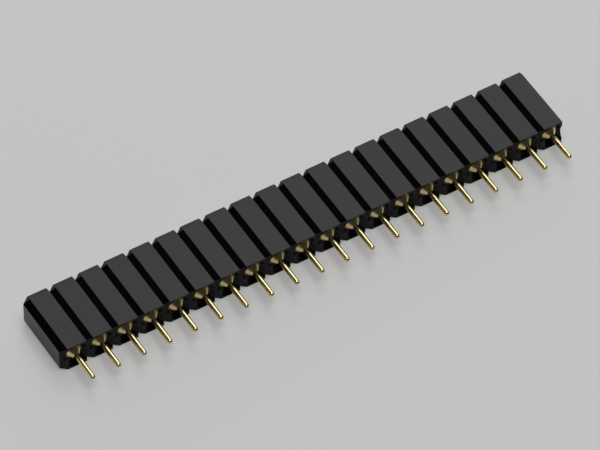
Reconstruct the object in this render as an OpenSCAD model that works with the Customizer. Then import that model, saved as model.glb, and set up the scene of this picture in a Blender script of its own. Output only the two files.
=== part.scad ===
// Single-row turned-contact strip, 2.54 mm pitch, lying on its broad side.
// The solder tails point along -Y and the sockets open along +Y.
// One moulded insulator carries a turned contact in each position, and each
// contact holds a small stamped spring clip that grips the mating pin.

/* [Strip] */
// Number of positions in the row
positions = 20; // [2:1:29]
// Distance from one contact to the next
pitch = 2.54; // [2.3:0.01:3.5]

/* [Insulator] */
// Thickness of the moulding between its two broad faces
body_t = 2.70; // [2.62:0.01:4]
// Depth of the moulding from the tail face to the socket face
body_depth = 7.0; // [5.5:0.1:12]
// How far the flat land at each position reaches from the contact's axis towards the notch
land_left = 0.85; // [0.8:0.01:1.1]
// How far the land reaches from the axis to its upright wall
land_right = 1.01; // [0.9:0.01:1.15]
// How far the sloped notch beside each land drops at the neighbour's wall
notch_drop = 0.28; // [0.05:0.01:0.5]
// How far the notch runs in from the tail face at the neighbour's wall
notch_front = 0.30; // [0.05:0.01:0.4]
// How far the notch runs in from the socket face at the neighbour's wall
notch_rear = 0.50; // [0.05:0.01:1]
// Length of the shallow bevel that narrows both broad sides towards the socket face
bevel_len = 0.46; // [0.1:0.01:1]
// Drop of that bevel at the socket face
bevel_drop = 0.15; // [0.02:0.01:0.3]
// Diameter of the round recess where it opens in the tail face
recess_d = 2.60; // [1.8:0.01:2.6]

/* [Turned contact] */
// Diameter of the solder tail
tail_d = 0.50; // [0.4:0.01:0.7]
// Length of the tail beyond the tail face
tail_len = 3.00; // [1.5:0.1:6]
// Diameter of the shoulder at the front of the contact
shoulder_d = 1.54; // [1.5:0.01:1.78]
// Length of the shoulder along the axis
shoulder_len = 0.60; // [0.3:0.05:1]
// Depth of the cone that joins the shoulder to the tail
cone_depth = 0.46; // [0.2:0.01:0.7]
// Diameter of the barrel pressed into the moulding
barrel_d = 1.40; // [1.26:0.01:1.48]
// Diameter of the blind bore that holds the clip
bore_d = 1.10; // [1:0.01:1.2]
// Depth of the blind bore
bore_depth = 5.0; // [3.6:0.1:5]
// Chamfer at the mouth of the bore
mouth_chamfer = 0.10; // [0.02:0.01:0.2]

/* [Spring clip] */
// How far the clip sits below the mouth of the bore
clip_set_back = 0.30; // [0.1:0.05:0.6]
// Length of the round collar pressed into the bore
collar_len = 0.50; // [0.2:0.05:0.8]
// Length of the funnel between the collar and the throat
funnel_len = 0.20; // [0.1:0.05:0.4]
// Inside diameter of the throat that guides the mating pin
throat_d = 0.66; // [0.56:0.01:0.7]
// Length of the throat
throat_len = 0.50; // [0.3:0.05:0.8]
// Thickness of the sheet that the clip is stamped from
clip_t = 0.10; // [0.05:0.01:0.12]
// Length of the converging fingers
finger_len = 1.50; // [0.6:0.05:1.6]
// Gap left between opposite fingers at their tips
finger_gap = 0.36; // [0.2:0.01:0.5]
// Width of the slits between the fingers
slit_w = 0.14; // [0.05:0.01:0.25]

/* [Hidden] */
$fn = 48;
// Overrun of a cutting shape past the face that it cuts
over = 1;
notch_w = pitch - land_left - land_right;
// The strip is as long as its pitches, with one notch left at its first end
strip_len = positions * pitch;
first_x = -strip_len / 2 + notch_w + land_left;
// The whole row, tails included, is centred on the origin in plan
overall_y = body_depth + tail_len;
tip_y = -overall_y / 2;
face_y = tip_y + tail_len;
rear_y = face_y + body_depth;
axis_z = body_t / 2;
// Distances along the contact's axis, from the tail face inwards
shoulder_end = cone_depth + shoulder_len;
bore_end = body_depth - bore_depth;
clip_mouth = body_depth - clip_set_back;
collar_end = clip_mouth - collar_len;
throat_mouth = collar_end - funnel_len;
finger_root = throat_mouth - throat_len;
finger_tip = finger_root - finger_len;

function contact_x(i) = first_x + (i - 1) * pitch;
function two_digits(i) = i < 10 ? str("0", i) : str(i);
function contact_name(i) = str("contact_", two_digits(i));
function clip_name(i) = str("clip_", two_digits(i));

ALL_POSITIONS = [for (i = [1:positions]) i];

// One edge of a row of lands: the low end of each notch, then the land's two corners.
// level is the height of the lands, and side is 1 for an upper edge or -1 for a lower one.
function notched_edge(level, drop, side) = [
    for (i = ALL_POSITIONS)
        for (p = [
            [contact_x(i) - land_left - notch_w, level - side * drop],
            [contact_x(i) - land_left, level],
            [contact_x(i) + land_right, level]
        ]) p
];

function reversed(list) = [for (k = [len(list) - 1:-1:0]) list[k]];

// Places its children on a contact's axis, with the axis along +Z from the tail face inwards
module on_axis(i) {
    translate([contact_x(i), face_y, axis_z])
        rotate([-90, 0, 0])
            children();
}

// The strip as seen from its tail face: lands and sloped notches on both broad sides
module end_section() {
    upper = notched_edge(body_t, notch_drop, 1);
    lower = notched_edge(0, notch_drop, -1);
    polygon(concat(upper, reversed(lower)));
}

// The strip as seen from above: the same notches cut into the tail face and the socket face
module plan_outline() {
    back = notched_edge(rear_y, notch_rear, 1);
    front = notched_edge(face_y, notch_front, -1);
    polygon(concat(back, reversed(front)));
}

// Everything below the notched upper side, tilted down about the line where the bevel starts
module upper_bevel() {
    far = strip_len;
    translate([0, rear_y - bevel_len, body_t])
        rotate([-atan(bevel_drop / bevel_len), 0, 0])
            translate([0, far / 2, 0])
                rotate([90, 0, 0])
                    linear_extrude(far)
                        polygon(concat(
                            notched_edge(0, notch_drop, 1),
                            [[strip_len / 2, -far], [-strip_len / 2, -far]]
                        ));
}

// Round way through the moulding for one contact, with the flared recess at the tail face
module contact_cavity() {
    shoulder_r = shoulder_d / 2;
    flare = (recess_d / 2 - shoulder_r) / cone_depth;
    rotate_extrude()
        polygon([
            [0, -over],
            [recess_d / 2 + flare * over, -over],
            [shoulder_r, cone_depth],
            [shoulder_r, shoulder_end],
            [barrel_d / 2, shoulder_end],
            [barrel_d / 2, body_depth + over],
            [0, body_depth + over]
        ]);
}

module insulator() {
    color([0.06, 0.06, 0.065])
        difference() {
            intersection() {
                translate([0, rear_y, 0])
                    rotate([90, 0, 0])
                        linear_extrude(body_depth)
                            end_section();
                linear_extrude(body_t)
                    plan_outline();
                upper_bevel();
                translate([0, 0, body_t])
                    mirror([0, 0, 1])
                        upper_bevel();
            }
            for (i = ALL_POSITIONS)
                on_axis(i)
                    contact_cavity();
        }
}

// Turned contact: round-nosed tail, cone, shoulder and barrel with a blind bore
module contact(i) {
    tail_r = tail_d / 2;
    bore_r = bore_d / 2;
    color([0.83, 0.69, 0.35])
        on_axis(i)
            difference() {
                union() {
                    translate([0, 0, tail_r - tail_len])
                        sphere(r = tail_r);
                    translate([0, 0, tail_r - tail_len])
                        cylinder(r = tail_r, h = tail_len - tail_r);
                    cylinder(r1 = tail_r, r2 = shoulder_d / 2, h = cone_depth);
                    translate([0, 0, cone_depth])
                        cylinder(r = shoulder_d / 2, h = shoulder_len);
                    translate([0, 0, shoulder_end])
                        cylinder(r = barrel_d / 2, h = body_depth - shoulder_end);
                }
                translate([0, 0, bore_end])
                    cylinder(r = bore_r, h = bore_depth + over);
                translate([0, 0, body_depth - mouth_chamfer])
                    cylinder(r1 = bore_r, r2 = bore_r + mouth_chamfer + over, h = mouth_chamfer + over);
            }
}

// Stamped clip: a collar, a funnel and a throat, with four fingers that close towards the tail
module clip(i) {
    collar_r = bore_d / 2;
    throat_r = throat_d / 2;
    tip_r = finger_gap / 2;
    color([0.80, 0.64, 0.32])
        on_axis(i)
            difference() {
                rotate_extrude()
                    polygon([
                        [tip_r, finger_tip],
                        [tip_r + clip_t, finger_tip],
                        [throat_r + clip_t, finger_root],
                        [throat_r + clip_t, throat_mouth],
                        [collar_r, collar_end],
                        [collar_r, clip_mouth],
                        [collar_r - clip_t, clip_mouth],
                        [collar_r - clip_t, collar_end],
                        [throat_r, throat_mouth],
                        [throat_r, finger_root]
                    ]);
                for (turn = [0, 90])
                    rotate([0, 0, turn])
                        translate([-bore_d / 2, -slit_w / 2, finger_tip - over])
                            cube([bore_d, slit_w, finger_len + over]);
            }
}

insulator();
for (i = ALL_POSITIONS) {
    contact(i);
    clip(i);
}
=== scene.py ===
from math import cos, hypot, pi, radians, sin
import bpy
from mathutils import Matrix, Vector


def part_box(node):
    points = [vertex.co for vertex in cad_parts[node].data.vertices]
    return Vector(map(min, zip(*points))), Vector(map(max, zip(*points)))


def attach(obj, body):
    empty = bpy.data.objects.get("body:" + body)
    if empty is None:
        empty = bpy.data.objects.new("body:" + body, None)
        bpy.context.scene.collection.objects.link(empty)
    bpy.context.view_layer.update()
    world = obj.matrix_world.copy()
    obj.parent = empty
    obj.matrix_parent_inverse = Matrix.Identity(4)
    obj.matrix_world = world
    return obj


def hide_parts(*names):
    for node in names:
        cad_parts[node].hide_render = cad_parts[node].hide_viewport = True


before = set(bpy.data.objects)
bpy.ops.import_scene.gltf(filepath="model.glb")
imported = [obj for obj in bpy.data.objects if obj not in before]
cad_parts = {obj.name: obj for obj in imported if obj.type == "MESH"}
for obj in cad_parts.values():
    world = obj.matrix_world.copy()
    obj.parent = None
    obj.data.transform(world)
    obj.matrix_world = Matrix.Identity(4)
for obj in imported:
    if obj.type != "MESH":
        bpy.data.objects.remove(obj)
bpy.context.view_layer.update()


# ---------------------------------------------------------------------------
# Moulding. One glossy black thermoplastic moulding holds the whole row. It is
# injection moulded, with crisp edges, a flared recess round each contact in
# the tail face and a sloped notch between the lands.
# ---------------------------------------------------------------------------
class Finish:
    """A socket of a material's nodes. Sums and products of sockets add Math nodes."""

    def __init__(self, tree, socket=None):
        self.tree = tree
        self.socket = socket

    def node(self, kind, settings, inputs, output=0):
        """Adds a node, sets it up, fills its sockets and returns one of its outputs."""
        made = self.tree.nodes.new(kind)
        for name, value in settings.items():
            setattr(made, name, value)
        for name, value in inputs.items():
            if isinstance(value, Finish):
                self.tree.links.new(value.socket, made.inputs[name])
            else:
                made.inputs[name].default_value = value
        return Finish(self.tree, made.outputs[output])

    def math(self, operation, other):
        return self.node("ShaderNodeMath", {"operation": operation}, {0: self, 1: other})

    def __add__(self, other):
        return self.math("ADD", other)

    __radd__ = __add__

    def __mul__(self, other):
        return self.math("MULTIPLY", other)

    __rmul__ = __mul__

    def part(self, axis):
        """One of the three numbers of a vector."""
        return self.node("ShaderNodeSeparateXYZ", {}, {0: self}, axis)

    def noise(self, scale, detail=2.0, stretch=(1, 1, 1)):
        """Soft noise over the piece, drawn out along an axis by a small stretch."""
        moved = self.node("ShaderNodeMapping", {}, {"Vector": self, "Scale": stretch})
        return self.node(
            "ShaderNodeTexNoise", {}, {"Vector": moved, "Scale": scale, "Detail": detail}
        )

    def blend(self, low, high):
        """A colour between two colours, as far along as this number says."""
        return self.node(
            "ShaderNodeMix",
            {"data_type": "RGBA"},
            {"Factor": self, 6: (*low, 1), 7: (*high, 1)},
            2,
        )

    def relief(self, depth):
        """A surface normal pressed in or out by this height, times a depth in metres."""
        return self.node("ShaderNodeBump", {}, {"Distance": depth, "Height": self})


def new_finish(name):
    """A material with its shader, and the Object coordinates of the piece that wears it."""
    made = bpy.data.materials.new(name)
    made.use_nodes = True
    tree = made.node_tree
    where = Finish(tree).node("ShaderNodeTexCoord", {}, {}, "Object")
    return made, tree.nodes["Principled BSDF"], where


def wear(shader, **looks):
    """Sets the shader's sockets, by value or by link."""
    for name, value in looks.items():
        socket = shader.inputs[name.replace("_", " ")]
        if isinstance(value, Finish):
            value.tree.links.new(value.socket, socket)
        else:
            socket.default_value = value


def dress(piece, finish):
    """Gives a piece one material all over."""
    piece.data.materials.clear()
    piece.data.materials.append(finish)


MM = 0.001
RECESS_R = 1.30
WELD_GAP = 0.0005
SAME_PLANE = radians(0.5)
CRISP_EDGE = radians(16)
BLACK_DEEP = (0.0013, 0.0013, 0.0014)
BLACK_WORN = (0.0022, 0.0022, 0.0024)
BLACK_GLOSS = 0.10
BLACK_GLOSS_SPREAD = 0.06
BLACK_IOR = 1.24
FLOW_SCALE = 260
FLOW_STRETCH = (1, 0.25, 1)
FLOW_HEIGHT = 4
GRAIN_SCALE = 9000
GRAIN_DEPTH = 0.0008 * MM

black_plastic, shader, where = new_finish("black_moulding")
flow = where.noise(FLOW_SCALE, 3, FLOW_STRETCH)
grain = where.noise(GRAIN_SCALE)
wear(
    shader,
    Base_Color=flow.blend(BLACK_DEEP, BLACK_WORN),
    Roughness=BLACK_GLOSS + BLACK_GLOSS_SPREAD * flow,
    IOR=BLACK_IOR,
    Normal=(grain + FLOW_HEIGHT * flow).relief(GRAIN_DEPTH),
)

cad_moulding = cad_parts["insulator"]
moulding = cad_moulding.copy()
moulding.data = cad_moulding.data.copy()
moulding.name = "black_moulding"
bpy.context.scene.collection.objects.link(moulding)
bpy.ops.object.select_all(action="DESELECT")
moulding.select_set(True)
bpy.context.view_layer.objects.active = moulding
bpy.ops.object.mode_set(mode="EDIT")
bpy.ops.mesh.select_all(action="SELECT")
bpy.ops.mesh.remove_doubles(threshold=WELD_GAP * MM)
bpy.ops.mesh.dissolve_limited(angle_limit=SAME_PLANE)
bpy.ops.mesh.normals_make_consistent(inside=False)
bpy.ops.object.mode_set(mode="OBJECT")
# The normals stored for the loose triangles don't fit the merged faces
bpy.ops.mesh.customdata_custom_splitnormals_clear()
bpy.ops.object.shade_smooth_by_angle(angle=CRISP_EDGE)
# Only the ways round the contacts are round, and the lands and notches are flat
contact_nodes = sorted(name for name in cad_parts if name.startswith("contact_"))
contact_boxes = [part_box(name) for name in contact_nodes]
contact_axes = [
    ((low[0] + high[0]) / 2, (low[2] + high[2]) / 2) for low, high in contact_boxes
]
for face in moulding.data.polygons:
    off_axis = min(hypot(face.center.x - x, face.center.z - z) for x, z in contact_axes)
    if off_axis > RECESS_R * MM:
        face.use_smooth = False
dress(moulding, black_plastic)
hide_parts("insulator")
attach(moulding, "root")

# ---------------------------------------------------------------------------
# Turned contacts. Each is turned from one brass rod and plated with gold: a
# round-nosed tail, a cone and shoulder that seat in the moulding's recess, and
# a barrel with a blind bore, pressed in from the tail side.
# ---------------------------------------------------------------------------
# Millimetres along the axis are counted from the tail face inwards
SIDES = 64
TAIL_R = 0.25
TAIL_LEN = 3.00
NOSE_FLAT_R = 0.05
NOSE_DEGREES = (22, 36, 50, 64, 77, 90)
# The fillet at the root of the tail: its place, and how far it stands out
ROOT_FILLET = ((-0.04, 0), (0.01, 0.006), (0.05, 0.05))
CONE_DEPTH = 0.46
SHOULDER_R = 0.77
SHOULDER_END = 1.06
# The rounded edge of the shoulder: its place past the cone, and how far it stands in
SHOULDER_ROUND = ((-0.05, 0.070), (-0.015, 0.026), (0.010, 0.006), (0.040, 0))
BARREL_R = 0.70
BARREL_END = 7.0
BROKEN_EDGE = 0.02
BORE_R = 0.55
BORE_END = 2.0
MOUTH_CHAMFER = 0.10
TURNED_EDGE = radians(32)
GOLD = (0.76, 0.645, 0.33)
GOLD_RICH = (0.70, 0.57, 0.26)
GOLD_GLOSS = 0.21
GOLD_GLOSS_SPREAD = 0.06
TONE_SCALE = 900
RING_SCALE = 26000
RING_DEPTH = 0.00025 * MM

gold, shader, where = new_finish("gold_contact")
tone = where.noise(TONE_SCALE)
rings = where.node(
    "ShaderNodeTexNoise",
    {"noise_dimensions": "1D"},
    {"W": where.part(1), "Scale": RING_SCALE, "Detail": 2},
)
wear(
    shader,
    Base_Color=tone.blend(GOLD_RICH, GOLD),
    Metallic=1.0,
    Roughness=GOLD_GLOSS + GOLD_GLOSS_SPREAD * tone,
    Normal=rings.relief(RING_DEPTH),
)

# Each step of the turned outline: the place along the axis, and the radius
nose = [
    (-TAIL_LEN + TAIL_R * (1 - cos(radians(a))), TAIL_R * sin(radians(a)))
    for a in NOSE_DEGREES
]
root = [(place, TAIL_R + out) for place, out in ROOT_FILLET]
shoulder = [(CONE_DEPTH + place, SHOULDER_R - inwards) for place, inwards in SHOULDER_ROUND]
barrel = [
    (SHOULDER_END, SHOULDER_R),
    (SHOULDER_END, BARREL_R),
    (BARREL_END - BROKEN_EDGE, BARREL_R),
    (BARREL_END, BARREL_R - BROKEN_EDGE),
    (BARREL_END, BORE_R + MOUTH_CHAMFER),
    (BARREL_END - MOUTH_CHAMFER, BORE_R),
    (BORE_END, BORE_R),
]
low, high = (Vector(corner) for corner in contact_boxes[0])
axis_x, axis_z = (low.x + high.x) / 2, high.z - SHOULDER_R * MM
tail_face = low.y + TAIL_LEN * MM
bpy.ops.object.select_all(action="DESELECT")
bpy.ops.mesh.primitive_circle_add(
    vertices=SIDES,
    radius=NOSE_FLAT_R * MM,
    fill_type="NGON",
    location=(axis_x, low.y, axis_z),
    rotation=(pi / 2, 0, 0),
)
turned = bpy.context.object
bpy.ops.object.transform_apply(location=True, rotation=True, scale=True)
bpy.ops.object.mode_set(mode="EDIT")
bpy.ops.mesh.select_all(action="SELECT")
place, radius = -TAIL_LEN, NOSE_FLAT_R
for next_place, next_radius in nose + root + shoulder + barrel:
    bpy.ops.mesh.extrude_region_move(
        TRANSFORM_OT_translate={"value": (0, (next_place - place) * MM, 0)}
    )
    grow = next_radius / radius
    bpy.ops.transform.resize(
        value=(grow, 1, grow), center_override=(axis_x, tail_face + next_place * MM, axis_z)
    )
    place, radius = next_place, next_radius
bpy.ops.mesh.select_all(action="SELECT")
bpy.ops.mesh.normals_make_consistent(inside=False)
bpy.ops.object.mode_set(mode="OBJECT")
bpy.ops.object.shade_smooth_by_angle(angle=TURNED_EDGE)
dress(turned, gold)

for node in contact_nodes:
    piece = turned if node == contact_nodes[0] else turned.copy()
    if piece is not turned:
        piece.data = turned.data.copy()
        bpy.context.scene.collection.objects.link(piece)
        piece.data.transform(Matrix.Translation((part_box(node)[0][0] - low.x, 0, 0)))
    piece.name = "turned_" + node
    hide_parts(node)
    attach(piece, "root")

# ---------------------------------------------------------------------------
# Spring clips. Each is stamped from thin copper-alloy sheet, rolled, plated
# with gold and pressed into the bore: a collar, a funnel, a throat and four
# fingers. The modelled nodes stay and get their plating here.
# ---------------------------------------------------------------------------
CLIP_GOLD = (0.84, 0.62, 0.28)
CLIP_GOLD_RICH = (0.74, 0.52, 0.20)
CLIP_GLOSS = 0.20
CLIP_GLOSS_SPREAD = 0.12
SHEET_SCALE = 2500
SHEET_STRETCH = (1, 0.3, 1)
SHEET_DEPTH = 0.002 * MM

clip_gold, shader, where = new_finish("gold_clip")
sheet = where.noise(SHEET_SCALE, 3, SHEET_STRETCH)
wear(
    shader,
    Base_Color=sheet.blend(CLIP_GOLD_RICH, CLIP_GOLD),
    Metallic=1.0,
    Roughness=CLIP_GLOSS + CLIP_GLOSS_SPREAD * sheet,
    Normal=sheet.relief(SHEET_DEPTH),
)
for name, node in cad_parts.items():
    if name.startswith("clip_"):
        for slot in node.material_slots:
            slot.material = clip_gold

# ---------------------------------------------------------------------------
# Table and studio. The strip lies on a plain pale table top, under one large
# soft light. A small panel and a softbox stand behind it on the right, and two
# pale cards light its left and its back.
# ---------------------------------------------------------------------------
TABLE = (0.41, 0.41, 0.407)
DARK = (0, 0, 0)
GLOW = (0.205, 0.205, 0.205)
TABLE_SIDE = 6
TABLE_GAP = 0.01 * MM
STUDIO_DIM = (0.03, 0.03, 0.03, 1)
# Each light: its direction from the strip, its distance, width and height in
# metres, and its brightness
LIGHTS = {
    "overhead_light": ((0.0, -0.14, 0.98), 0.70, 0.56, 0.40, 4.0),
    "key_panel": ((0.34, 0.56, 0.76), 0.60, 0.30, 0.30, 3.4),
    "right_softbox": ((0.74, 0.56, 0.38), 0.66, 0.66, 0.56, 0.65),
    "left_card": ((-0.80, 0.55, 0.20), 0.80, 0.60, 0.40, 0.5),
    "back_card": ((0.25, 0.95, 0.20), 0.80, 1.10, 0.36, 1.4),
}

table_paint, shader, where = new_finish("pale_table")
seen = (
    where.node("ShaderNodeLightPath", {}, {}, "Is Camera Ray")
    + where.node("ShaderNodeLightPath", {}, {}, "Is Glossy Ray")
    + where.node("ShaderNodeLightPath", {}, {}, "Is Transmission Ray")
)
wear(
    shader,
    Base_Color=(*TABLE, 1),
    Roughness=0.9,
    Specular_IOR_Level=0.1,
    Emission_Color=seen.blend(DARK, GLOW),
    Emission_Strength=1.0,
)
bpy.ops.object.select_all(action="DESELECT")
bpy.ops.mesh.primitive_plane_add(size=TABLE_SIDE, location=(0, 0, -TABLE_GAP))
table = bpy.context.object
bpy.ops.object.transform_apply(location=True, rotation=True, scale=True)
table.name = "table_top"
dress(table, table_paint)

for name, (direction, distance, width, height, brightness) in LIGHTS.items():
    lamp = bpy.data.lights.new(name, "AREA")
    lamp.shape = "RECTANGLE"
    lamp.size, lamp.size_y = width, height
    lamp.energy = pi * width * height * brightness
    stand = bpy.data.objects.new(name, lamp)
    bpy.context.scene.collection.objects.link(stand)
    outwards = Vector(direction).normalized()
    stand.location = outwards * distance
    stand.rotation_euler = outwards.to_track_quat("Z", "Y").to_euler()

world = bpy.data.worlds.new("studio")
bpy.context.scene.world = world
world.use_nodes = True
world.node_tree.nodes["Background"].inputs["Color"].default_value = STUDIO_DIM

# ---------------------------------------------------------------------------
# Camera. A long lens looks down on the row from in front of the tails, on the
# left. Its aim is kept from the tail face and the top of the moulding.
# ---------------------------------------------------------------------------
TURN = radians(-31.134)
TILT = radians(49.442)
DISTANCE = 0.51561
FRAME_WIDTH = 600
FOCAL_PIXELS = 5919.5
SENSOR_WIDTH = 36
NEAREST = 0.01
AIM_BEHIND_FACE = 2.05 * MM
AIM_BELOW_TOP = 2.54 * MM
AIM_PIXELS = (3.365, -13.81)

to_right = Vector((cos(TURN), sin(TURN), 0))
to_camera = Vector((sin(TURN) * cos(TILT), -cos(TURN) * cos(TILT), sin(TILT)))
to_top = to_camera.cross(to_right)
aim = Vector((0, tail_face + AIM_BEHIND_FACE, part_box("insulator")[1][2] - AIM_BELOW_TOP))
aim -= (to_right * AIM_PIXELS[0] + to_top * AIM_PIXELS[1]) * DISTANCE / FOCAL_PIXELS
lens = bpy.data.cameras.new("camera")
lens.sensor_width = SENSOR_WIDTH
lens.lens = SENSOR_WIDTH * FOCAL_PIXELS / FRAME_WIDTH
lens.clip_start = NEAREST
camera = bpy.data.objects.new("camera", lens)
bpy.context.scene.collection.objects.link(camera)
turn = Matrix((to_right, to_top, to_camera)).transposed().to_4x4()
camera.matrix_world = Matrix.Translation(aim + to_camera * DISTANCE) @ turn
bpy.context.scene.camera = camera
bpy.context.scene.view_settings.view_transform = "Standard"
